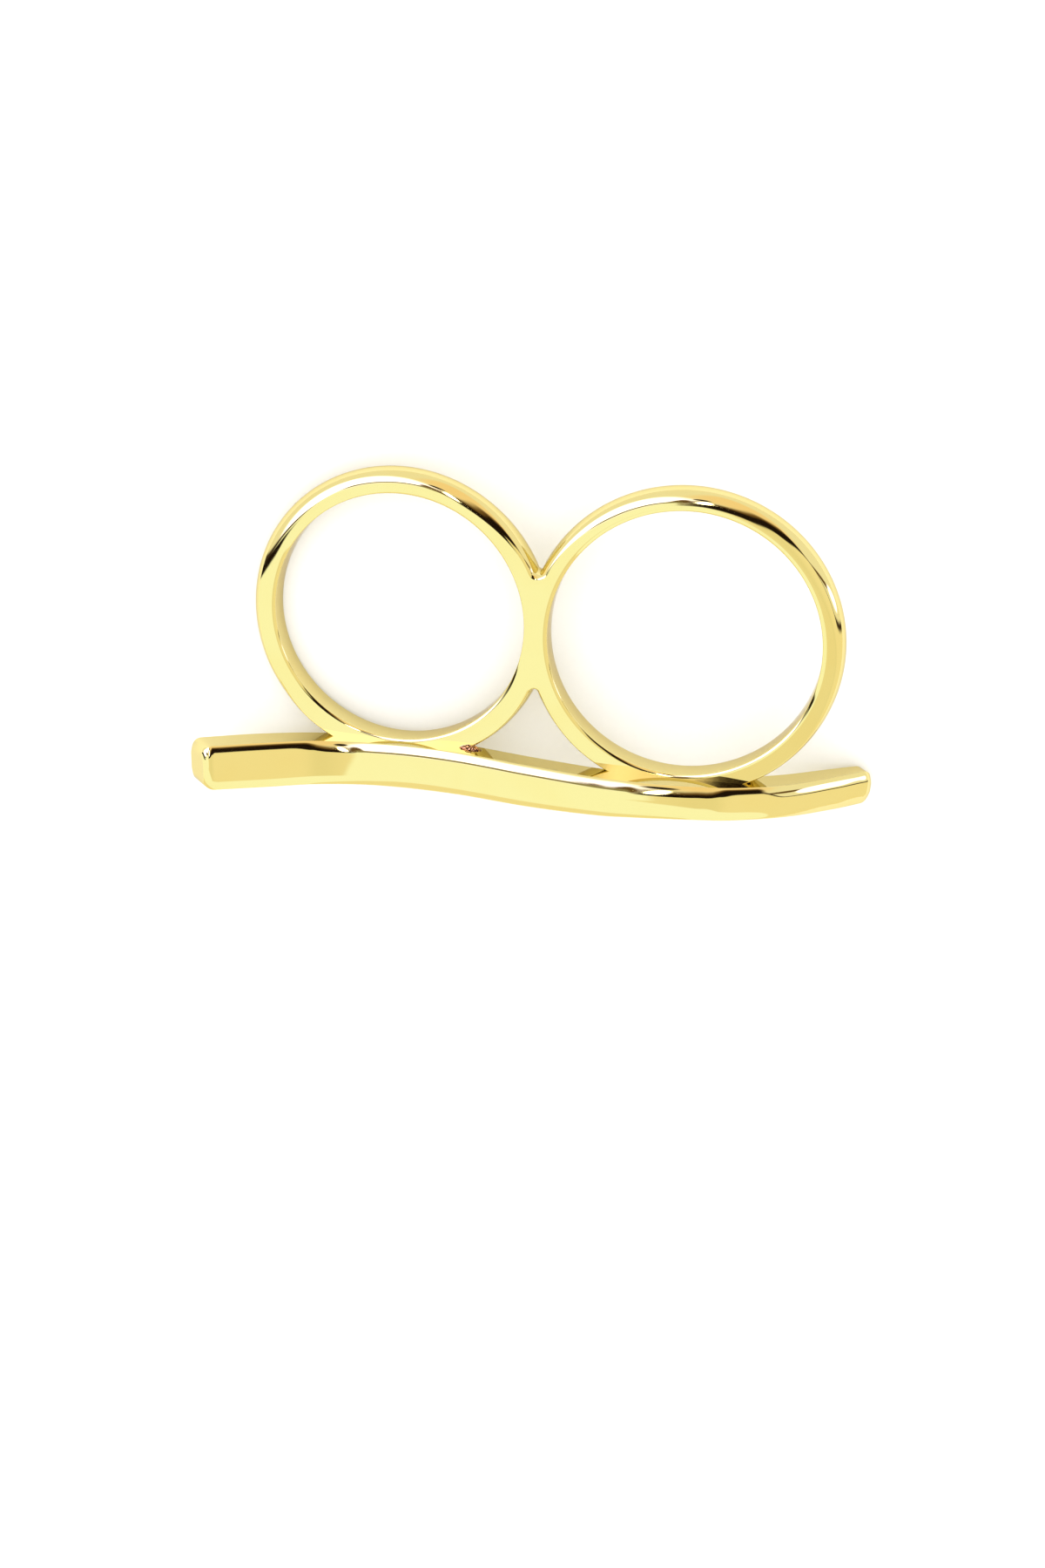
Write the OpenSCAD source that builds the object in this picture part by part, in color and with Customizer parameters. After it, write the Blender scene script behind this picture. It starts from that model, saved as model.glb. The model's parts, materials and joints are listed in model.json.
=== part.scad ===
// Bar ring for two fingers.
// Two round hoops are soldered side by side, and a long wavy bar is soldered across them.
// Polished metal soldered into one solid, so the whole ring is one piece.
//
// Ring frame: X runs along the bar, Y from the bar to the far side of the hoops, Z is the axis
// of both finger holes, and the origin is midway between the two holes, halfway along the band.
// The last step lays the ring on its side, with the middle of its footprint at the origin.

/* [Hoops] */
// Bore of the left hoop, a US size 7
left_bore_d = 17.35; // [16:0.05:18.5]
// Bore of the right hoop, a US size 8
right_bore_d = 18.2; // [17:0.05:19]
// Wall that is left between the two bores
bore_gap = 1.6; // [1.4:0.05:1.9]
// Width of the band along the finger
band_w = 1.85; // [1.5:0.05:2.4]
// Thickness of the left band, from the bore to the crown of its domed outside
left_band_t = 1.65; // [1.3:0.05:1.8]
// Thickness of the right band
right_band_t = 1.5; // [1.3:0.05:1.8]
// Radius of the solder in the two notches between the hoops
notch_r = 0.2; // [0.2:0.05:0.8]
// Thickness of the solder lump at the foot of the left hoop
lump_d = 0.7; // [0.5:0.05:0.9]

/* [Bar] */
// Reach of the rounding of the bar's long edges, along its depth
edge_deep = 0.85; // [0.4:0.05:1]
// Reach of the same rounding, across the width of the bar
edge_wide = 0.36; // [0.2:0.02:0.6]
// Reach of the rounding at both ends of the bar, along it and in its depth
end_deep = 0.75; // [0.3:0.05:0.9]
// Reach of the same rounding, across the width of the bar
end_wide = 0.35; // [0.1:0.05:0.5]
// Turn of the left end face out of square, toward the front
left_cut = 20; // [0:1:25]
// Factor on the wave of the bar along the fingers
wave = 1; // [0.8:0.05:1.2]

/* [Lying] */
// Lean of the ring as it lies on its left hoop and the right tip of its bar
lie_lean = 5.2; // [4:0.1:6]
// Heading of that lean, from the long way of the bar
lie_heading = 8; // [0:0.5:20]

/* [Hidden] */

left_r = left_bore_d / 2;
right_r = right_bore_d / 2;
centre_gap = left_r + bore_gap + right_r;
left_centre = [-centre_gap / 2, 0];
right_centre = [centre_gap / 2, 0];
left_outer_r = left_r + left_band_t;
right_outer_r = right_r + right_band_t;
half_w = band_w / 2;
dome_t = 1.15;
solder_sink = 0.02;
solder_half_w = half_w - solder_sink;
bore_reach = 5;
lump_at = [-4.45, -8.9, 0.95];
lump_pitch = 0.3;
profile_steps = 7;
corner_steps = 5;
stations = 60;
hoop_fn = 112;
cut_fade = 2.6;

// Rows of the bar from its left tip to its right tip, in the ring frame
AT = 0; // place along the bar
DRIFT = 1; // middle of the bar along the finger
SEAT = 2; // face of the bar toward the fingers
DEEP = 3; // depth of the bar, away from the fingers
WIDE = 4; // width of the bar, square to its run
bar_rows = [
    [-22.35, 4.32, -8.98, 3.30, 2.35],
    [-19.1, 2.70, -9.00, 3.35, 2.35],
    [-15.5, 1.30, -9.02, 3.30, 2.15],
    [-11.0, 0.80, -8.92, 3.20, 2.05],
    [-5.50, 1.10, -8.80, 3.15, 2.10],
    [0.00, 1.20, -9.15, 3.05, 2.15],
    [4.80, 1.30, -9.40, 2.80, 2.20],
    [9.50, 1.55, -9.38, 2.50, 2.30],
    [13.5, 0.95, -9.28, 2.40, 2.40],
    [17.0, -0.35, -9.20, 2.35, 2.35],
    [20.3, -2.45, -9.15, 2.40, 1.95],
    [22.0, -3.67, -9.15, 2.40, 1.60],
];

// Smooth value of one column between the rows
function row_at(x) = max([for (i = [0:len(bar_rows) - 2]) if (i == 0 || bar_rows[i][AT] <= x) i]);
function rise(i, col) =
    let (a = max(0, i - 1), b = min(len(bar_rows) - 1, i + 1))
    (bar_rows[b][col] - bar_rows[a][col]) / (bar_rows[b][AT] - bar_rows[a][AT]);
function along(x, col) =
    let (
        i = row_at(x),
        step = bar_rows[i + 1][AT] - bar_rows[i][AT],
        s = (x - bar_rows[i][AT]) / step
    )
    bar_rows[i][col] * (1 + 2 * s) * (1 - s) * (1 - s)
    + bar_rows[i + 1][col] * s * s * (3 - 2 * s)
    + rise(i, col) * step * s * (1 - s) * (1 - s)
    - rise(i + 1, col) * step * s * s * (1 - s);

// Rounded oblong, inset from the full section, as [away from the fingers, across the bar]
function oblong(deep, wide, inset) =
    let (
        r_deep = max(0.05, edge_deep - inset[0]),
        r_wide = max(0.05, edge_wide - inset[1]),
        d = deep - 2 * inset[0],
        w = wide - 2 * inset[1]
    )
    [for (corner = [0:3]) for (k = [0:corner_steps])
        let (
            a = 90 * (corner + k / corner_steps),
            side_y = (corner == 0 || corner == 3) ? 1 : -1,
            side_z = corner < 2 ? 1 : -1
        )
        [side_y * (d / 2 - r_deep) + r_deep * cos(a), side_z * (w / 2 - r_wide) + r_wide * sin(a)]];

first_x = bar_rows[0][AT];
last_x = bar_rows[len(bar_rows) - 1][AT];

// One section of the bar, set square to its run in plan except near the cut of the left tip
function slant(x) = atan(wave * (along(x + 0.05, DRIFT) - along(x - 0.05, DRIFT)) / 0.1);
function cut(x) = left_cut * max(0, 1 - (x - first_x) / cut_fade);
function section(x, ahead, inset) =
    let (
        a = slant(x),
        b = a - cut(x),
        middle = [x + ahead * cos(a), along(x, SEAT) - along(x, DEEP) / 2,
            wave * along(x, DRIFT) + ahead * sin(a)]
    )
    [for (p = oblong(along(x, DEEP), along(x, WIDE) / cos(cut(x)), inset))
        middle + [-p[1] * sin(b), p[0], p[1] * cos(b)]];

// The rounding of an end, at the angle a of its quarter
function end_inset(a) = [end_deep, end_wide] * (1 - cos(a));
bar_sections = concat(
    [for (a = [90:-30:30]) section(first_x + 0.05, -end_deep * sin(a), end_inset(a))],
    [for (i = [0:stations])
        section(first_x + 0.05 + (last_x - first_x - 0.1) * i / stations, 0, [0, 0])],
    [for (a = [30:30:90]) section(last_x - 0.05, end_deep * sin(a), end_inset(a))]
);
ring_n = 4 * (corner_steps + 1);
bar_points = [for (ring = bar_sections) each ring];
bar_faces = concat(
    [[for (k = [0:ring_n - 1]) k]],
    [for (s = [0:len(bar_sections) - 2]) for (k = [0:ring_n - 1])
        let (a = s * ring_n + k, b = s * ring_n + (k + 1) % ring_n)
        [a, a + ring_n, b + ring_n, b]],
    [[for (k = [ring_n - 1:-1:0]) (len(bar_sections) - 1) * ring_n + k]]
);

// Domed section of a band of outer radius r, as [radius, height]
function band_profile(r) = concat(
    [[r - 2 * dome_t, -half_w], [r - 2 * dome_t, half_w]],
    [for (k = [0:2 * profile_steps])
        let (a = 90 * k / profile_steps)
        [r - dome_t + dome_t * sin(a), half_w * cos(a)]]
);

// Middle of the round notch, which touches both crowns from outside
notch_middle =
    let (
        a = left_outer_r + notch_r,
        b = right_outer_r + notch_r,
        x = (centre_gap * centre_gap + a * a - b * b) / (2 * centre_gap)
    )
    [x - centre_gap / 2, sqrt(a * a - x * x)];

// A round disc with a domed rim, which the bore later leaves as a band
module hoop(centre, r) {
    translate(centre) rotate_extrude($fn = hoop_fn) polygon(band_profile(r));
}

module left_hoop() {
    color("gold") hoop(left_centre, left_outer_r);
}

module right_hoop() {
    color("gold") hoop(right_centre, right_outer_r);
}

// Ring of solder round one notch, with the same domed edge as the hoops
module notch_ring() {
    translate(notch_middle) rotate_extrude($fn = 64) polygon(concat(
        [for (k = [-profile_steps:profile_steps])
            let (a = 90 * k / profile_steps)
            [notch_r + solder_sink + dome_t * (1 - cos(a)), solder_half_w * sin(a)]],
        [[centre_gap, solder_half_w], [centre_gap, -solder_half_w]]
    ));
}

// The filled neck between the hoops, and the small lump left where the left hoop meets the bar
module solder() {
    color("gold") {
        intersection() {
            translate([0, 0, -half_w]) linear_extrude(band_w) polygon([
                left_centre, notch_middle, right_centre, [notch_middle[0], -notch_middle[1]]
            ]);
            notch_ring();
            mirror([0, 1, 0]) notch_ring();
        }
        for (bead = [-1:1]) translate(lump_at + [bead * lump_pitch, 0, 0]) sphere(d = lump_d, $fn = 24);
    }
}

module bar() {
    color("gold") polyhedron(bar_points, bar_faces);
}

module bores() {
    translate([left_centre[0], 0, -bore_reach]) cylinder(h = 2 * bore_reach, r = left_r, $fn = hoop_fn);
    translate([right_centre[0], 0, -bore_reach]) cylinder(h = 2 * bore_reach, r = right_r, $fn = hoop_fn);
}

module upright_ring() {
    difference() {
        union() {
            left_hoop();
            right_hoop();
            solder();
            bar();
        }
        bores();
    }
}

// Direction of the ring frame that the lying turn takes to e
lie_axis = [-sin(lie_heading), cos(lie_heading), 0];
function before_turn(e) =
    e * cos(lie_lean) + cross(lie_axis, e) * sin(lie_lean)
    + lie_axis * (lie_axis * e) * (1 - cos(lie_lean));
right_way = before_turn([1, 0, 0]);
far_way = before_turn([0, 1, 0]);
up_way = before_turn([0, 0, 1]);

// Furthest that the ring reaches along a direction n of the ring frame
function hoop_reach(centre, r, n) =
    let (level = [n[0], n[1]])
    centre * level + max([for (p = band_profile(r)) p * [norm(level), n[2]]]);
function reach(n) = max(
    hoop_reach(left_centre, left_outer_r, n),
    hoop_reach(right_centre, right_outer_r, n),
    max([for (p = bar_points) p * n])
);

// The ring at rest on its side, with the middle of its footprint at the origin
module bar_ring() {
    translate([
        (reach(-right_way) - reach(right_way)) / 2,
        (reach(-far_way) - reach(far_way)) / 2,
        reach(-up_way)
    ])
        rotate(a = -lie_lean, v = lie_axis) upright_ring();
}

bar_ring();
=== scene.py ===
# %% [markdown]
# # A bar ring in polished gold
#
# The ring goes on two fingers. Two round hoops are soldered side by side, and a long bar that
# waves like water is soldered across both of them. Everything is mirror polished, so what we see
# is mostly the room in the metal: the shape has to be smooth, and the light has to be planned.
#
# The packed part gives the real sizes and the place where the ring lies. It is loaded first, and it
# stays in the scene, hidden.

# %% Load the packed part
import json
import math

import bmesh
import bpy
from mathutils import Matrix, Vector


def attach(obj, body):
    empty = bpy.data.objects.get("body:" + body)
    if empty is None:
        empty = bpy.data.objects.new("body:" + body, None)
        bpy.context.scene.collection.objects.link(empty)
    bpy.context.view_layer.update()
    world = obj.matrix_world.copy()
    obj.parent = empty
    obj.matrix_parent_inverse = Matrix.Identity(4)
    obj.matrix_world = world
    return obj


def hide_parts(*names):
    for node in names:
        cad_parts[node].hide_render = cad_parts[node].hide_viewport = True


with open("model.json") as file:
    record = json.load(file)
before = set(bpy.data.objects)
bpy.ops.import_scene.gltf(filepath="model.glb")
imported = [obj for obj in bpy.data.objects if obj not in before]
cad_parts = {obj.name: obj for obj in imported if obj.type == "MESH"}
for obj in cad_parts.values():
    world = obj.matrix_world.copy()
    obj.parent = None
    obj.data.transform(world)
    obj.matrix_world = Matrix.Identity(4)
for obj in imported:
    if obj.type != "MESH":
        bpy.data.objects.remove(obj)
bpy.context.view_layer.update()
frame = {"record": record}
MM = 0.001


def in_mm(place):
    """A place or a size in metres, as rounded millimetres."""
    return [round(side / MM, 2) for side in place]


# %% [markdown]
# ## The ring's own frame
#
# A jeweller thinks of a ring in its own directions: along the bar, from the bar to the far side
# of the hoops, and along the fingers. The packed part lies on its side and leans a little, so its
# two finger holes tell us where those directions went. We model the ring upright in millimetres,
# in its own frame, and lay it down as the last step of the modelling. The other way, modelling it
# as it lies, would put a slant into every number.

# %% Read the frame of the ring from its finger holes
holes = {mount["name"]: mount for mount in frame["record"]["mounts"]}
left_hole = holes["left_finger_hole"]
right_hole = holes["right_finger_hole"]
left_r = left_hole["dims"]["r_mm"]
right_r = right_hole["dims"]["r_mm"]
band_w = left_hole["dims"]["length_mm"]
half_w = band_w / 2

left_place = Vector(left_hole["pos_m"])
right_place = Vector(right_hole["pos_m"])
finger_way = Vector(left_hole["axis"]).normalized()
bar_way = (right_place - left_place).normalized()
far_way = finger_way.cross(bar_way).normalized()
turn = Matrix((bar_way, far_way, finger_way)).transposed().to_4x4()
lay_down = Matrix.Translation((left_place + right_place) / 2) @ turn
centre_gap = (right_place - left_place).length / MM
left_centre = Vector((-centre_gap / 2, 0, 0))
right_centre = Vector((centre_gap / 2, 0, 0))
print("hole radii, mm:", left_r, right_r, "centres apart:", round(centre_gap, 3))

# %% [markdown]
# ## Working by hand in code
#
# These helpers do what the hand does in the window: clear the selection, add a primitive, go in
# and out of edit mode, and pick points by their place. An operator works on all that is
# selected, so add, edit and apply first make their piece the only one selected.

# %% Helpers for modelling
def only(piece):
    """Makes one piece the selected and active object, alone."""
    bpy.ops.object.select_all(action="DESELECT")
    piece.select_set(True)
    bpy.context.view_layer.objects.active = piece


def add(operator, name, **settings):
    """Adds one primitive and returns it as the only selected object."""
    bpy.ops.object.select_all(action="DESELECT")
    operator(**settings)
    piece = bpy.context.object
    piece.name = name
    return piece


def edit(piece):
    """Goes into edit mode on one piece, to work on its points."""
    only(piece)
    bpy.ops.object.mode_set(mode="EDIT")
    bpy.ops.mesh.select_mode(type="VERT")


def leave():
    """Goes back to object mode."""
    bpy.ops.object.mode_set(mode="OBJECT")


def pick(piece, test):
    """In edit mode, selects the points that pass the test, with the edges and faces between."""
    bpy.ops.mesh.select_all(action="DESELECT")
    mesh = bmesh.from_edit_mesh(piece.data)
    for point in mesh.verts:
        point.select_set(test(point.co))
    mesh.select_flush(True)
    bmesh.update_edit_mesh(piece.data)


def face_outwards():
    """In edit mode, turns every face so that its front looks out of the metal."""
    bpy.ops.mesh.select_all(action="SELECT")
    bpy.ops.mesh.normals_make_consistent(inside=False)


# %% [markdown]
# ## The two hoops
#
# Each hoop is a strip of metal with a flat inside and a domed outside, bent round and closed.
# Where the two touch, solder fills the valley between them, so the dome runs on without a break:
# round one hoop, through the small hollow of the notch, round the other hoop and back. We could
# join two rings and blend them with a boolean, but a mirror shows every seam. Instead the domed
# profile is spun four times in one go: about each hoop's centre, and about the middle of each
# notch, where it turns the other way.

# %% Sizes of the hoops, in millimetres
left_band_t = 1.65
right_band_t = 1.5
notch_r = 0.15
# Depth of the dome from its crown to the flat face, and the strip of that face made with it
dome_t = 1.15
lip = 0.03

left_outer_r = left_r + left_band_t
right_outer_r = right_r + right_band_t
left_reach = left_outer_r + notch_r
right_reach = right_outer_r + notch_r
notch_x = (centre_gap**2 + left_reach**2 - right_reach**2) / (2 * centre_gap)
notch_y = math.sqrt(left_reach**2 - notch_x**2)
far_notch = left_centre + Vector((notch_x, notch_y, 0))
near_notch = left_centre + Vector((notch_x, -notch_y, 0))
left_open = math.atan2(notch_y, notch_x)
right_open = math.atan2(notch_y, centre_gap - notch_x)
print("notch opens at, degrees:", round(math.degrees(left_open), 2), round(math.degrees(right_open), 2))

# %% Make the domed profile
# A hair is how far two places may be apart and still count as the same.
HAIR = 0.001
profile_points = 40
start_way = Vector((math.cos(left_open), math.sin(left_open), 0))
dome_middle = left_centre + (left_outer_r - dome_t) * start_way
band = add(bpy.ops.mesh.primitive_circle_add, "bar_ring_metal", vertices=2 * profile_points, radius=1)
band.scale = (dome_t, half_w, 1)
band.rotation_euler = (math.pi / 2, 0, left_open)
band.location = dome_middle
bpy.ops.object.transform_apply(location=True, rotation=True, scale=True)

edit(band)
pick(band, lambda place: (place - dome_middle).dot(start_way) < -HAIR)
bpy.ops.mesh.delete(type="VERT")
pick(band, lambda place: (place - dome_middle).dot(start_way) < HAIR)
bpy.ops.mesh.extrude_vertices_move(TRANSFORM_OT_translate={"value": -lip * start_way})
leave()
print("points in the profile:", len(band.data.vertices))

# %% Spin the profile round both hoops
hoop_steps = 300
notch_steps = 24
notch_angle = math.pi - left_open - right_open
spins = [
    (left_centre, -(2 * math.pi - 2 * left_open), hoop_steps),
    (near_notch, notch_angle, notch_steps),
    (right_centre, -(2 * math.pi - 2 * right_open), hoop_steps),
    (far_notch, notch_angle, notch_steps),
]
edit(band)
bpy.ops.mesh.select_all(action="SELECT")
for centre, angle, steps in spins:
    bpy.ops.mesh.spin(steps=steps, angle=angle, center=centre, axis=(0, 0, 1))
bpy.ops.mesh.select_all(action="SELECT")
bpy.ops.mesh.remove_doubles(threshold=2 * HAIR)
leave()
print("points in the dome:", len(band.data.vertices))

# %% [markdown]
# ## Where the face is wide
#
# The dome isn't equally deep all the way round. Over the top of each hoop it is full. Between the
# hoops, and round their lower sides where they stand on the bar, solder was run in and polished
# flat, so the face reaches almost to the crown. The spin left the dome the same everywhere. Its
# points are pulled out toward the crown by a share that changes round the hoop, which is what a
# sculpting brush would do.

# %% Pull the dome out where the solder is
# Each row: degrees from the neck over the top of the hoop, and the share of the dome that is left.
left_shares = [(0, 0.5), (38, 1), (135, 1), (185, 0.45), (208, 0.2), (285, 0.2), (311, 0.3)]
right_shares = [(0, 0.5), (38, 1), (115, 1), (165, 0.5), (208, 0.2), (285, 0.2), (311, 0.3)]
neck_share = left_shares[0][1]
foot_share = left_shares[-1][1]
# A hair for angles, in radians
hair_turn = 0.0001


def share_at(shares, degrees):
    """Smooth value between the rows."""
    for (low, first), (high, second) in zip(shares, shares[1:]):
        if degrees <= high:
            s = max(0, degrees - low) / (high - low)
            return first + (second - first) * s * s * (3 - 2 * s)
    return shares[-1][1]


def pulled(place):
    """The place of a point of the dome after the pull."""
    level = Vector((place.x, place.y, 0))
    hoops = (
        (left_centre, left_outer_r, left_open, left_shares, 1),
        (right_centre, right_outer_r, right_open, right_shares, -1),
    )
    for centre, reach, opening, shares, way in hoops:
        off = level - centre
        from_neck = math.atan2(off.y, way * off.x) % (2 * math.pi)
        open_side = opening - hair_turn <= from_neck <= 2 * math.pi - opening + hair_turn
        if open_side and off.length < reach + HAIR:
            share = share_at(shares, math.degrees(from_neck - opening))
            return centre + off.normalized() * (reach - share * (reach - off.length))
    notch, share = (far_notch, neck_share) if place.y > 0 else (near_notch, foot_share)
    off = level - notch
    return notch + off.normalized() * (notch_r + share * (off.length - notch_r))


for point in band.data.vertices:
    level = pulled(point.co)
    point.co = (level.x, level.y, point.co.z)
print("face of the neck reaches to, mm:", round(notch_y - notch_r - neck_share * dome_t, 2))

# %% [markdown]
# ## The finger holes
#
# The inside of each hoop is a plain round hole. Its two edges would cut the finger, so they are
# filed to a narrow slope and buffed round. The slope shows as a fine line along the rim, dark or
# white with what it mirrors. Each hole starts as an open cylinder, its rims are extruded outward
# and up to the face, once for the slope and once more for a strip of the face, and both corners
# are bevelled. Then the flat faces between the holes and the dome are filled.

# %% Add the holes with their sloped rims
hole_points = 288
# The slope in millimetres: its reach outward, its drop below the face and its buffed corners
slope_reach = 0.2
slope_drop = 0.085
slope_round = 0.07
slope_segments = 4
strip_reach = 0.29
# A point counts as on a rim within this many millimetres.
rim_hair = 0.004


def on_circle(centre, radius, height):
    """Test for the points on a level circle."""

    def test(place):
        near = abs((place - centre).to_2d().length - radius) < rim_hair
        return near and abs(place.z - height) < rim_hair

    return test


edit(band)
for centre, radius in ((left_centre, left_r), (right_centre, right_r)):
    bpy.ops.mesh.select_all(action="DESELECT")
    bpy.ops.mesh.primitive_cylinder_add(
        vertices=hole_points,
        radius=radius,
        depth=band_w - 2 * slope_drop,
        end_fill_type="NOTHING",
        location=centre,
    )
    for side in (-1, 1):
        rim_z, face_z = side * (half_w - slope_drop), side * half_w
        rise_to_face = (0, 0, side * slope_drop)
        pick(band, on_circle(centre, radius, rim_z))
        for before, after, lift in ((0, slope_reach, rise_to_face), (slope_reach, strip_reach, (0, 0, 0))):
            grow = (radius + after) / (radius + before)
            bpy.ops.mesh.extrude_edges_move(TRANSFORM_OT_translate={"value": lift})
            bpy.ops.transform.resize(value=(grow, grow, 1), center_override=(*centre.to_2d(), rim_z))
        for reach, height in ((0, rim_z), (slope_reach, face_z)):
            pick(band, on_circle(centre, radius + reach, height))
            bpy.ops.mesh.bevel(offset=slope_round, segments=slope_segments, affect="EDGES")
leave()
print("points with the holes:", len(band.data.vertices))

# %% Fill the flat faces
edit(band)
for side in (-1, 1):
    bpy.ops.mesh.select_all(action="DESELECT")
    bpy.ops.mesh.select_non_manifold()
    mesh = bmesh.from_edit_mesh(band.data)
    for point in mesh.verts:
        if point.co.z * side < 0:
            point.select_set(False)
    mesh.select_flush(False)
    bmesh.update_edit_mesh(band.data)
    bpy.ops.mesh.fill(use_beauty=True)
face_outwards()
leave()
print("points in the hoops:", len(band.data.vertices), "faces:", len(band.data.polygons))

# %% [markdown]
# ## The bar
#
# The bar is one rod, square in section with softened edges. It waves along the fingers: one tip
# comes forward, the middle runs level and the other tip goes back. It is deeper at its left end
# and gets thin toward the right tip. The hand would forge it, and we extrude it: a square plane
# at the left tip, extruded step by step, turned into the run of the bar and resized at each step.
#
# Its long edges aren't quarter rounds. They were filed to a slope that reaches far along the depth
# and little across the width, and buffed, so each is nearly a chamfer. That slope decides where
# the dark band in the mirror lies, and it is a little narrower than the plain part's rounding. A
# bevel only cuts evenly, so the bar is squashed in its depth, bevelled, and stretched back. Both
# ends are soft pillows, which grow out of the cut faces in small steps. The left end is cut a
# little out of square, so that its face catches the light from the front.

# %% Sizes of the bar, in millimetres and degrees
# Each row: place along the bar, drift along the finger, side toward the fingers, depth, width.
AT, DRIFT, SEAT, DEEP, WIDE = range(5)
bar_rows = [
    (-22.35, 4.32, -8.98, 3.30, 2.35),
    (-19.1, 2.70, -9.00, 3.35, 2.35),
    (-15.5, 1.30, -9.02, 3.30, 2.15),
    (-11.0, 0.80, -8.92, 3.20, 2.05),
    (-5.50, 1.10, -8.80, 3.15, 2.10),
    (0.00, 1.27, -9.15, 3.05, 2.15),
    (4.80, 1.40, -9.40, 2.80, 2.20),
    (7.20, 1.42, -9.40, 2.64, 2.25),
    (9.50, 1.35, -9.38, 2.50, 2.30),
    (11.5, 1.19, -9.33, 2.44, 2.35),
    (13.5, 0.89, -9.28, 2.40, 2.40),
    (17.0, -0.36, -9.20, 2.35, 2.35),
    (20.3, -2.45, -9.15, 2.40, 1.95),
    (22.0, -3.67, -9.15, 2.40, 1.60),
]
first_x = bar_rows[0][AT]
last_x = bar_rows[-1][AT]
# Reach of the softened edges and ends, along the depth and across the width
edge_deep = 0.78
edge_wide = 0.30
end_deep = 0.75
end_wide = 0.35
# How far the left end is cut out of square, and the length over which that fades
left_cut = 20
cut_fade = 2.6
print("bar from", first_x, "to", last_x, "mm")

# %% The run of the bar
slant_step = 0.05


def rise(i, column):
    """Slope of one column at row i."""
    before, after = bar_rows[max(0, i - 1)], bar_rows[min(len(bar_rows) - 1, i + 1)]
    return (after[column] - before[column]) / (after[AT] - before[AT])


def along(x, column):
    """Smooth value of one column of the rows at x."""
    i = max(k for k in range(len(bar_rows) - 1) if k == 0 or bar_rows[k][AT] <= x)
    low, high = bar_rows[i], bar_rows[i + 1]
    step = high[AT] - low[AT]
    s = (x - low[AT]) / step
    start = low[column] * (1 + 2 * s) * (1 - s) ** 2 + rise(i, column) * step * s * (1 - s) ** 2
    end = high[column] * s**2 * (3 - 2 * s) - rise(i + 1, column) * step * s**2 * (1 - s)
    return start + end


def bar_middle(x):
    return Vector((x, along(x, SEAT) - along(x, DEEP) / 2, along(x, DRIFT)))


def slant(x):
    """Angle of the bar's run against the plane of the hoops."""
    climb = along(x + slant_step, DRIFT) - along(x - slant_step, DRIFT)
    return math.atan(climb / (2 * slant_step))


def cut(x):
    """Angle of a section out of square, which fades away from the cut of the left end."""
    return math.radians(left_cut) * max(0, 1 - (x - first_x) / cut_fade)


print("slant at the tips, degrees:", [round(math.degrees(slant(x)), 1) for x in (first_x, last_x)])

# %% Extrude the bar along its wave
bar_steps = 120


def set_section(place, old, new):
    """Turns and resizes the selected section from its old (angle, depth, width) to the new."""
    ratio = (1, new[1] / old[1], new[2] / old[2])
    bpy.ops.transform.rotate(value=-old[0], orient_axis="Y", center_override=place)
    bpy.ops.transform.resize(value=ratio, center_override=place)
    bpy.ops.transform.rotate(value=new[0], orient_axis="Y", center_override=place)


bar = add(bpy.ops.mesh.primitive_plane_add, "bar", size=1, rotation=(0, math.pi / 2, 0))
bpy.ops.object.transform_apply(location=True, rotation=True, scale=True)
edit(bar)
here, now = Vector((0, 0, 0)), (0, 1, 1)
bpy.ops.mesh.select_all(action="SELECT")
for k in range(bar_steps + 1):
    x = first_x + (last_x - first_x) * k / bar_steps
    place = bar_middle(x)
    section = (slant(x) - cut(x), along(x, DEEP), along(x, WIDE) / math.cos(cut(x)))
    if k == 0:
        bpy.ops.transform.translate(value=place - here)
    else:
        bpy.ops.mesh.extrude_region_move(TRANSFORM_OT_translate={"value": place - here})
    set_section(place, now, section)
    here, now = place, section
face_outwards()
leave()
print("points in the square bar:", len(bar.data.vertices))

# %% Soften the four long edges, but not the cut faces
# A bevel's form is 0.25 for a flat chamfer and 0.5 for a round.
edge_form = 0.33
edge_segments = 14
sharp_angle = math.radians(40)
ends = [(bar_middle(x), slant(x) - cut(x)) for x in (first_x, last_x)]
# All points of a cut face are within this many millimetres of its middle.
face_reach = 3


def at_end(middle, angle):
    """Test for the points on one cut face."""
    square = Vector((math.cos(angle), 0, math.sin(angle)))

    def test(place):
        off = place - middle
        return abs(off.dot(square)) < 2 * HAIR and off.length < face_reach

    return test


edit(bar)
bpy.ops.mesh.select_all(action="SELECT")
bpy.ops.transform.resize(value=(1, edge_wide / edge_deep, 1), center_override=(0, 0, 0))
bpy.ops.mesh.select_mode(type="EDGE")
bpy.ops.mesh.select_all(action="DESELECT")
bpy.ops.mesh.edges_select_sharp(sharpness=sharp_angle)
mesh = bmesh.from_edit_mesh(bar.data)
for edge in mesh.edges:
    for middle, angle in ends:
        squashed = Vector((middle.x, middle.y * edge_wide / edge_deep, middle.z))
        if all(at_end(squashed, angle)(point.co) for point in edge.verts):
            edge.select_set(False)
bmesh.update_edit_mesh(bar.data)
bpy.ops.mesh.bevel(offset=edge_wide, segments=edge_segments, profile=edge_form, affect="EDGES")
bpy.ops.mesh.select_all(action="SELECT")
bpy.ops.transform.resize(value=(1, edge_deep / edge_wide, 1), center_override=(0, 0, 0))
leave()
print("points with soft edges:", len(bar.data.vertices))

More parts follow.
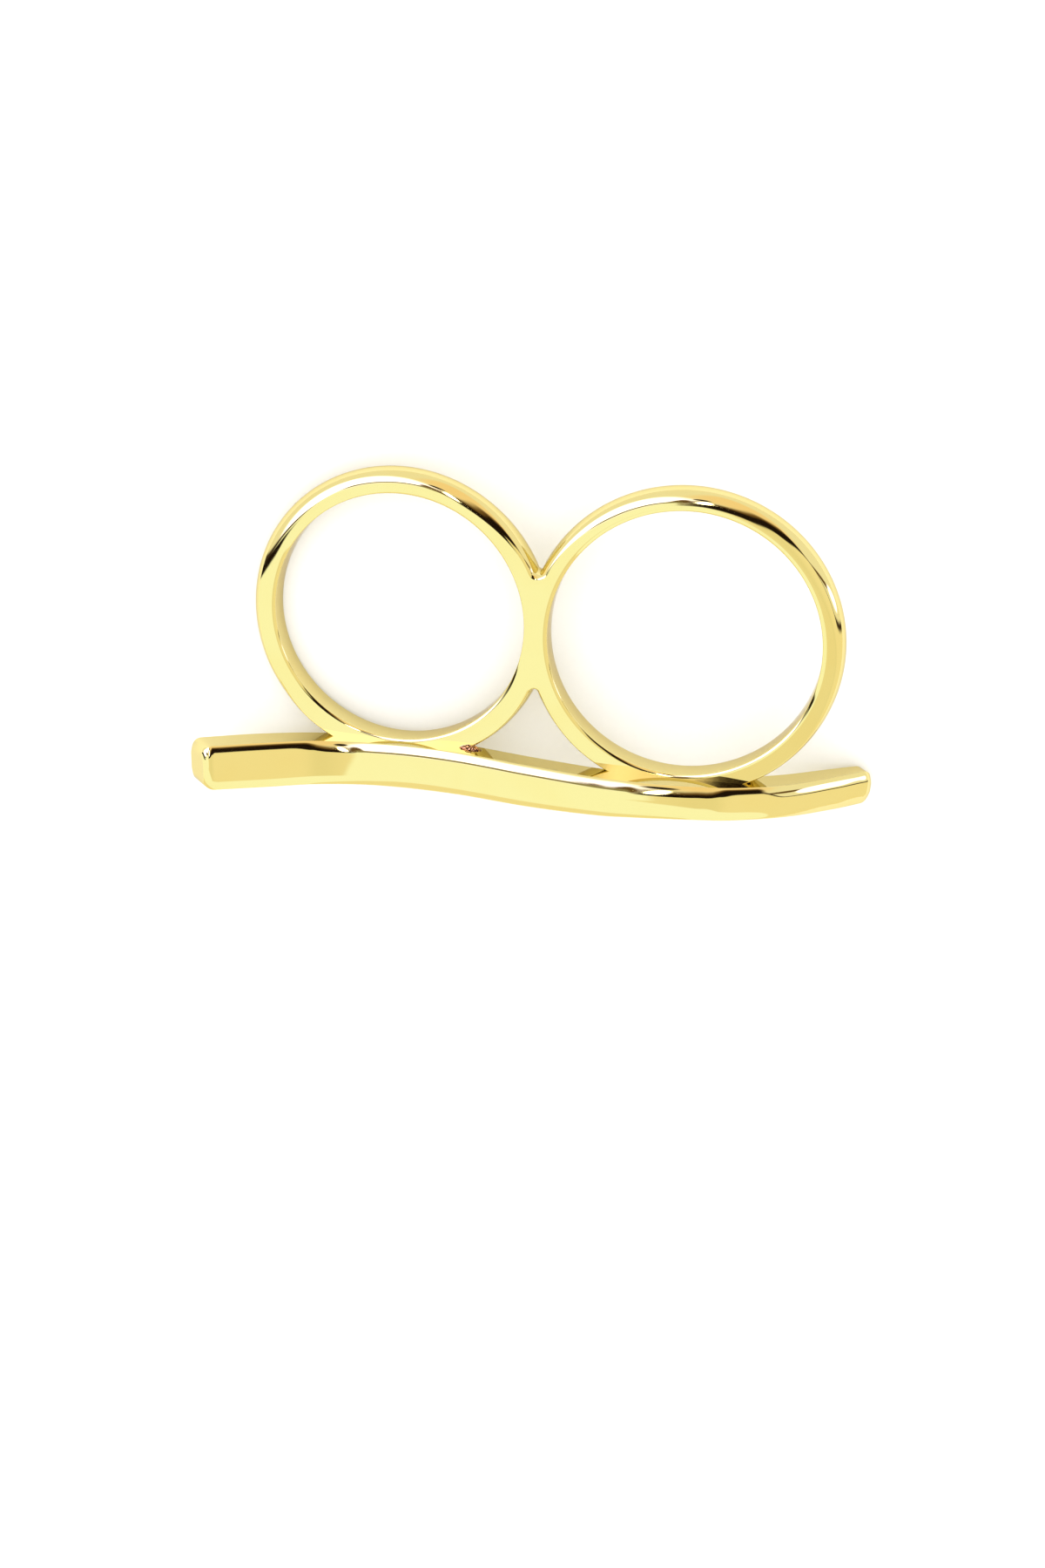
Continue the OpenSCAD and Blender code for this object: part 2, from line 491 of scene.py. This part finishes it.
# %% Grow the pillows of both ends
end_steps = 10
edit(bar)
for x, way in ((first_x, -1), (last_x, 1)):
    middle, run, turned_by = bar_middle(x), slant(x), slant(x) - cut(x)
    ahead = Vector((math.cos(run), 0, math.sin(run))) * way
    deep, wide = along(x, DEEP), along(x, WIDE) / math.cos(cut(x))
    pick(bar, at_end(middle, turned_by))
    here, now = middle, (turned_by, deep, wide)
    for k in range(1, end_steps + 1):
        a = math.pi / 2 * k / end_steps
        place = middle + ahead * end_deep * math.sin(a)
        inset = 2 * (1 - math.cos(a))
        section = (turned_by, deep - inset * end_deep, wide - inset * end_wide)
        bpy.ops.mesh.extrude_region_move(TRANSFORM_OT_translate={"value": place - here})
        set_section(place, now, section)
        here, now = place, section
face_outwards()
leave()
print("points in the bar:", len(bar.data.vertices))

# %% [markdown]
# ## The lump of solder
#
# At the foot of the left hoop a little solder ran out of the joint and stayed in the corner, too
# tight for the polishing wheel to reach. It is a rough crumb. It starts as a fine ball, is drawn
# out along the bar, and a cloud pattern pushes its skin in and out. Noise in the material alone
# would leave its outline a smooth ball.

# %% Make the lump
lump_at = Vector((-4.45, -8.9, 0.95))
lump_r = 0.33
lump_stretch = 1.86
crumb_size = 0.16
crumb_push = 0.22


def apply(piece, kind, **settings):
    """Adds one modifier with its settings and applies it."""
    only(piece)
    modifier = piece.modifiers.new(kind.title(), kind)
    for name, value in settings.items():
        setattr(modifier, name, value)
    bpy.ops.object.modifier_apply(modifier=modifier.name)


lump = add(bpy.ops.mesh.primitive_ico_sphere_add, "lump", subdivisions=5, radius=lump_r, location=lump_at)
bpy.ops.object.transform_apply(location=True, rotation=True, scale=True)
edit(lump)
bpy.ops.mesh.select_all(action="SELECT")
bpy.ops.transform.resize(value=(lump_stretch, 1, 1), center_override=lump_at)
leave()
clouds = bpy.data.textures.new("crumbs", "CLOUDS")
clouds.noise_scale = crumb_size
apply(lump, "DISPLACE", texture=clouds, strength=crumb_push, mid_level=0.5)
print("lump of solder, mm:", [round(side, 2) for side in lump.dimensions])

# %% [markdown]
# ## Soldering
#
# The bar, the hoops and the lump become one piece of metal. A boolean union cuts away what lies
# inside and leaves one closed skin. They could also stay three pieces pushed into each other, but
# then hidden walls would run through the metal.
#
# Smooth shading averages the directions of the faces round each point, and beside a bevel that
# makes a flat face bulge in the mirror. The Weighted Normal modifier lets the large faces decide,
# so the flat sides of the bar reflect as flat ones.

# %% Join the pieces
for part in (bar, lump):
    apply(band, "BOOLEAN", operation="UNION", solver="EXACT", object=part)
    bpy.data.objects.remove(part)
edit(band)
bpy.ops.mesh.select_all(action="SELECT")
bpy.ops.mesh.remove_doubles(threshold=HAIR / 2)
face_outwards()
leave()
print("points in the ring:", len(band.data.vertices))

# %% Lay the ring down and shade it smooth
smooth_angle = math.radians(35)
band.matrix_world = lay_down @ Matrix.Scale(MM, 4)
only(band)
bpy.ops.object.transform_apply(location=True, rotation=True, scale=True)
bpy.ops.object.shade_smooth_by_angle(angle=smooth_angle)
apply(band, "WEIGHTED_NORMAL", keep_sharp=True)
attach(band, "root")
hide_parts("bar_ring")
print("ring as it lies, mm:", in_mm(band.dimensions))

# %% [markdown]
# ## Shader maths as Python
#
# A material is a sheet of nodes joined by wires. Laying out dozens of Math nodes by hand hides the
# thought in them, so one small class wraps a socket and lets Python's own signs add the Math
# nodes. Every other kind of node comes from one method of the sheet.

# %% Wires that can be reckoned with
class Wire:
    """One output socket. Signs between wires and numbers add Math nodes."""

    def __init__(self, sheet, socket):
        self.sheet = sheet
        self.socket = socket

    def __add__(self, other):
        return self.sheet.reckon("ADD", self, other)

    def __sub__(self, other):
        return self.sheet.reckon("SUBTRACT", self, other)

    def __rsub__(self, other):
        return self.sheet.reckon("SUBTRACT", other, self)

    def __mul__(self, other):
        return self.sheet.reckon("MULTIPLY", self, other)

    def __truediv__(self, other):
        return self.sheet.reckon("DIVIDE", self, other)

    def __pow__(self, other):
        return self.sheet.reckon("POWER", self, other)

    __radd__ = __add__
    __rmul__ = __mul__


print("a wire knows:", [name.strip("_") for name, made in vars(Wire).items() if callable(made)])

# %% A sheet of nodes
class Sheet:
    """The nodes of one material or of the world."""

    def __init__(self, owner):
        owner.use_nodes = True
        self.nodes = owner.node_tree.nodes
        self.links = owner.node_tree.links

    def plug(self, value, socket):
        if isinstance(value, Wire):
            self.links.new(value.socket, socket)
        else:
            socket.default_value = value

    def node(self, kind, settings=None, sockets=None, output=0):
        """Adds one node with its settings first, then the values or wires of its sockets."""
        node = self.nodes.new(kind)
        for name, value in (settings or {}).items():
            setattr(node, name, value)
        for key, value in (sockets or {}).items():
            self.plug(value, node.inputs[key])
        return Wire(self, node.outputs[output])

    def reckon(self, operation, *values):
        """One Math node."""
        return self.node("ShaderNodeMath", {"operation": operation}, dict(enumerate(values)))

    def ramp(self, value, low, high):
        """0 below low, 1 above high, and smooth between them. The two may be swapped."""
        settings = {"interpolation_type": "SMOOTHSTEP"}
        sockets = {"Value": value, "From Min": low, "From Max": high}
        return self.node("ShaderNodeMapRange", settings, sockets)

    def blend(self, factor, first, second):
        """A colour between two others."""
        return self.node("ShaderNodeMix", {"data_type": "RGBA"}, {0: factor, 6: first, 7: second}, 2)

    def dot(self, vector, way):
        """How far a vector goes along a direction."""
        settings = {"operation": "DOT_PRODUCT"}
        return self.node("ShaderNodeVectorMath", settings, {0: vector, 1: way}, 1)

    def noise(self, place, scale, detail, roughness=0.5):
        sockets = {"Vector": place, "Scale": scale, "Detail": detail, "Roughness": roughness}
        return self.node("ShaderNodeTexNoise", {}, sockets)

    def bump(self, height, strength=1, distance=1):
        sockets = {"Strength": strength, "Distance": distance, "Height": height}
        return self.node("ShaderNodeBump", {}, sockets)


print("materials before ours:", len(bpy.data.materials))

# %% [markdown]
# ## The finish
#
# The metal is plated with a pale yellow gold and buffed to a mirror. A mirror is never perfect: the
# buffing wheel leaves the surface very slightly uneven, so the edges of what it reflects wander a
# little, and it leaves finer lines that only soften them. Both are bump, far too low to be
# modelled. The wheel can't reach the corner with the lump of solder, which stays rough and dark.
#
# The colours are a little darker than bright gold, and the studio is brighter to make up for it.
# The flat faces then stay a bright yellow, while the walls of the holes, which mirror the paper,
# go tan.

# %% Patterns on the metal
# The scale is in patches to the metre, so 600 makes patches of about 1.7 mm.
gold = bpy.data.materials.new("polished_gold")
metal = Sheet(gold)
place = metal.node("ShaderNodeTexCoord", output="Object")
waves = metal.noise(place, scale=600, detail=1)
grain = metal.noise(place, scale=9000, detail=3)
crumbs = metal.noise(place, scale=7000, detail=3, roughness=0.6)
tone = metal.noise(place, scale=250, detail=2)
print("nodes of the patterns:", len(metal.nodes))

# %% Where the lump is
# Reach of the burnt corner along the bar, away from it and along the finger, in millimetres
burnt_reach = (0.78, 0.36, 0.50)
frayed = 0.8
lump_place = lay_down @ (MM * lump_at)
from_lump = metal.node("ShaderNodeVectorMath", {"operation": "SUBTRACT"}, {0: place, 1: lump_place})
lump_off = sum(
    (metal.dot(from_lump, direction) / (reach * MM)) ** 2
    for direction, reach in zip((bar_way, far_way, finger_way), burnt_reach)
)
at_lump = metal.ramp(lump_off + crumbs * frayed, 1.5, 1.2)
print("lump lies at, mm:", in_mm(lump_place))

# %% Colour, roughness and bump of the gold
WHITE_GOLD = (0.77, 0.66, 0.28, 1)
DEEP_GOLD = (0.77, 0.61, 0.21, 1)
SOOT = (0.03, 0.01, 0.006, 1)
COPPER = (0.95, 0.50, 0.24, 1)
GRAZING_TINT = (0.74, 0.69, 0.64, 1)
tone_change = 0.3
# Heights of the patterns, in metres
wave_height = 2e-6
grain_height = 6e-8
crumb_height = 6e-5
# Roughness of the mirror, and what the finest lines and the lump add to it
mirror_rough = 0.04
grain_rough = 0.03
lump_rough = 0.12

plated = metal.blend(metal.ramp(tone, 0.4, 0.8) * tone_change, WHITE_GOLD, DEEP_GOLD)
burnt = metal.blend(metal.ramp(crumbs, 0.44, 0.56), SOOT, COPPER)
height = waves * wave_height + grain * grain_height + at_lump * crumbs * crumb_height
rough = mirror_rough + metal.ramp(grain, 0.5, 0.8) * grain_rough + at_lump * lump_rough
shader = gold.node_tree.nodes["Principled BSDF"]
metal.plug(metal.blend(at_lump, plated, burnt), shader.inputs["Base Color"])
metal.plug(rough, shader.inputs["Roughness"])
metal.plug(metal.bump(height), shader.inputs["Normal"])
shader.inputs["Metallic"].default_value = 1
shader.inputs["Specular Tint"].default_value = GRAZING_TINT
band.data.materials.clear()
band.data.materials.append(gold)
print("nodes in the gold:", len(metal.nodes))

# %% [markdown]
# ## The table
#
# The ring lies on plain white paper. Its fine tooth shows only close up, as a low bump.

# %% Floor
PAPER_LOW = (0.92, 0.92, 0.92, 1)
PAPER_HIGH = (0.95, 0.95, 0.95, 1)
floor = add(bpy.ops.mesh.primitive_plane_add, "floor", size=4)
white_paper = bpy.data.materials.new("white_paper")
paper = Sheet(white_paper)
tooth = paper.noise(paper.node("ShaderNodeTexCoord", output="Object"), scale=2500, detail=3)
shader = white_paper.node_tree.nodes["Principled BSDF"]
shader.inputs["Roughness"].default_value = 0.9
paper.plug(paper.blend(tooth, PAPER_LOW, PAPER_HIGH), shader.inputs["Base Color"])
paper.plug(paper.bump(tooth, strength=0.3, distance=2e-5), shader.inputs["Normal"])
floor.data.materials.append(white_paper)
print("floor, metres:", [round(side, 1) for side in floor.dimensions])

# %% [markdown]
# ## The light
#
# Polished metal has hardly any colour of its own: it shows the studio. Real panels round the ring
# would stand in the way of a camera that looks from another side, so the studio is laid out on
# the world instead, by direction. Two angles in the ring's own frame name a direction, as on a
# globe: turned goes from the front to the right, and up from the bar to the top of the hoops.
#
# Under the horizon lies the sweep. It is white at the left, and duller and yellower in the middle
# and at the right. Over the horizon are a pale ceiling, a soft box at the left and a warm panel
# high up at the right, with a tall dark wall under it. Small dark flags trim the soft box on its
# right, a narrow lamp beside it flashes white, and a second soft box stands far to the right. The
# thin darks are a slot along the horizon and a curved strip in the sweep at the left. The paper
# and the camera see plain white instead of all this, which gives the floor an even light.

# %% Directions of the studio
world = bpy.data.worlds.new("studio")
bpy.context.scene.world = world
studio = Sheet(world)
way = studio.node("ShaderNodeTexCoord", output="Generated")
up = studio.reckon("ARCSINE", studio.dot(way, far_way)) * math.degrees(1)
to_right, to_front = studio.dot(way, bar_way), studio.dot(way, finger_way)
turned = studio.reckon("ARCTAN2", to_right, to_front) * math.degrees(1)


def zone(middle, reach, edge, lean=0):
    """A soft round zone in degrees. middle and reach give the sideways and the upward angle, and
    lean moves the zone sideways for each degree up."""
    rise_off = up - middle[1]
    off = ((turned - middle[0] - rise_off * lean) / reach[0]) ** 2 + (rise_off / reach[1]) ** 2
    return studio.ramp(off, (1 + edge) ** 2, (1 - edge) ** 2)


def between(value, low, high, edge):
    """1 where a value lies between low and high, and 0 outside, with soft edges."""
    return studio.ramp(value, low - edge, low + edge) * studio.ramp(value, high + edge, high - edge)


def hills(start, *climbs):
    """A height that changes round the studio. Each climb says between which two turned angles it
    lies, and how many degrees it climbs."""
    height = start
    for low, high, climb in climbs:
        height = height + climb * studio.ramp(turned, low, high)
    return height


print("front of the ring looks along:", [round(side, 3) for side in finger_way])

# %% Lights and darks
CEILING = (0.89, 0.88, 0.85, 1)
SOFT_BOX = (2.4, 2.4, 4.5, 1)
WARM = (0.94, 0.75, 0.55, 1)
FLASH = (9, 9, 9.5, 1)
SWEEP = (1.01, 1.09, 1.09, 1)
SWEEP_SIDE = (0.92, 0.86, 0.68, 1)
SWEEP_DULL = (0.81, 0.77, 0.58, 1)
OLIVE = (0.30, 0.28, 0.19, 1)
BROWN = (0.14, 0.08, 0.03, 1)
SLOT = (0.05, 0.03, 0.02, 1)
DARK = (0.012, 0.006, 0.004, 1)
PLAIN = (1.16, 1.16, 1.16, 1)
studio_level = 1.26
print("plain white is", round(PLAIN[0] * studio_level, 2), "times as bright as the screen's white")

# %% The horizon
# It lies at -4 degrees all round. In front it is higher under the right part of the soft box,
# dips where the box ends, and climbs along the dark wall.
box_side = hills(-4, (-30, -26, 8))
wall_side = hills(-10, (-6, 14, 19), (14, 30, 6), (34, 50, -19))
horizon = box_side + (wall_side - box_side) * studio.ramp(turned, -8, -6)
over = up - horizon
print("nodes for the horizon:", len(studio.nodes))

# %% Over the horizon
along_wall = between(turned, -6, 36, 2)
over_wall = up - hills(12, (0, 22, 17))
under_box = between(turned, -27, -7, 2)
far_round = 1 - between(turned, -28, 36, 1)
# Each row: where it is, and its colour. A later row covers the earlier ones.
layers = [
    (zone((-30, 16), (23, 21), 0.3), SOFT_BOX),
    (zone((18, 40), (25, 25), 0.3), WARM),
    (zone((50, 13), (13, 2.2), 0.4, lean=-0.2), BROWN),
    (along_wall * studio.ramp(over_wall, 10, 0), BROWN),
    (along_wall * studio.ramp(over_wall, 0, -4), DARK),
    (zone((-8, 10), (2.2, 9), 0.3), BROWN),
    (zone((-3.2, 24.5), (2.8, 4), 0.3), DARK),
    (zone((70, 9), (11, 5), 0.3), SOFT_BOX),
    (zone((-3, 11), (1.4, 6.5), 0.3, lean=0.16), FLASH),
    (under_box * between(over, 0, 6.5, 1.5), OLIVE),
    (far_round * studio.ramp(over, 5, 2), SLOT),
]
light = CEILING
for mask, colour in layers:
    light = studio.blend(mask, light, colour)
print("layers over the horizon:", len(layers))

# %% The sweep under the horizon
# Its white part ends on a slant low down, where the bar mirrors it.
on_bar = studio.ramp(up, -21.4, -22)
sweep_edge = turned + on_bar * (3.5 + (up + 22) * 1.8)
sweep = studio.blend(between(turned, 0, 14, 13), SWEEP_SIDE, SWEEP_DULL)
sweep = studio.blend(between(sweep_edge, -90, -4, 1.5), sweep, SWEEP)
light = studio.blend(studio.ramp(over, -2, 1), sweep, light)
print("nodes with the sweep:", len(studio.nodes))

# %% The dark strip at the left
# It hangs in the sweep as a flat arc, highest where turned is strip_top.
strip_left = -97
strip_top = -66
strip_right = -26
strip_level = -5.4
strip_bend = 0.0033
strip_half = 2.2
strip_off = up - strip_level + (turned - strip_top) ** 2 * strip_bend
strip = between(turned, strip_left, strip_right, 3) * between(strip_off, -strip_half, strip_half, 0.6)
light = studio.blend(strip, light, DARK)
print("strip drops at its right end, degrees:", round(strip_bend * (strip_right - strip_top) ** 2, 1))

# %% Join the studio and the plain white
glossy = studio.node("ShaderNodeLightPath", output="Is Glossy Ray")
background = world.node_tree.nodes["Background"]
studio.plug(studio.blend(glossy, PLAIN, light), background.inputs["Color"])
background.inputs["Strength"].default_value = studio_level
bpy.context.scene.view_settings.view_transform = "Standard"
print("nodes in the studio:", len(studio.nodes))

# %% [markdown]
# ## The camera
#
# The camera looks at the front of the ring, a little from the right and from the far side of the
# hoops. Its place and directions are given in the ring's own frame, in millimetres, so it keeps
# its angle to the ring and comes to stand above the table once the ring is laid down.

# %% Camera
camera_at = Vector((20.72, 38.79, 112.84))
camera_look = Vector((-0.1723, -0.4007, -0.8999)).normalized()
camera_right = Vector((0.979, 0.0312, -0.2014))
camera_right = (camera_right - camera_right.dot(camera_look) * camera_look).normalized()
camera_up = camera_right.cross(camera_look)
camera_data = bpy.data.cameras.new("camera")
camera_data.lens = 41.26
camera_data.sensor_width = 36
camera_data.clip_start = 0.01
camera_data.clip_end = 20
camera = bpy.data.objects.new("camera", camera_data)
bpy.context.scene.collection.objects.link(camera)
axes = Matrix((camera_right, camera_up, -camera_look)).transposed().to_4x4()
camera.matrix_world = lay_down @ Matrix.Translation(MM * camera_at) @ axes
bpy.context.scene.camera = camera
print("camera above the table, mm:", round(camera.matrix_world.translation.z / MM, 1))

# %% [markdown]
# ## The sizes
#
# The finished ring must be as large as the packed part.
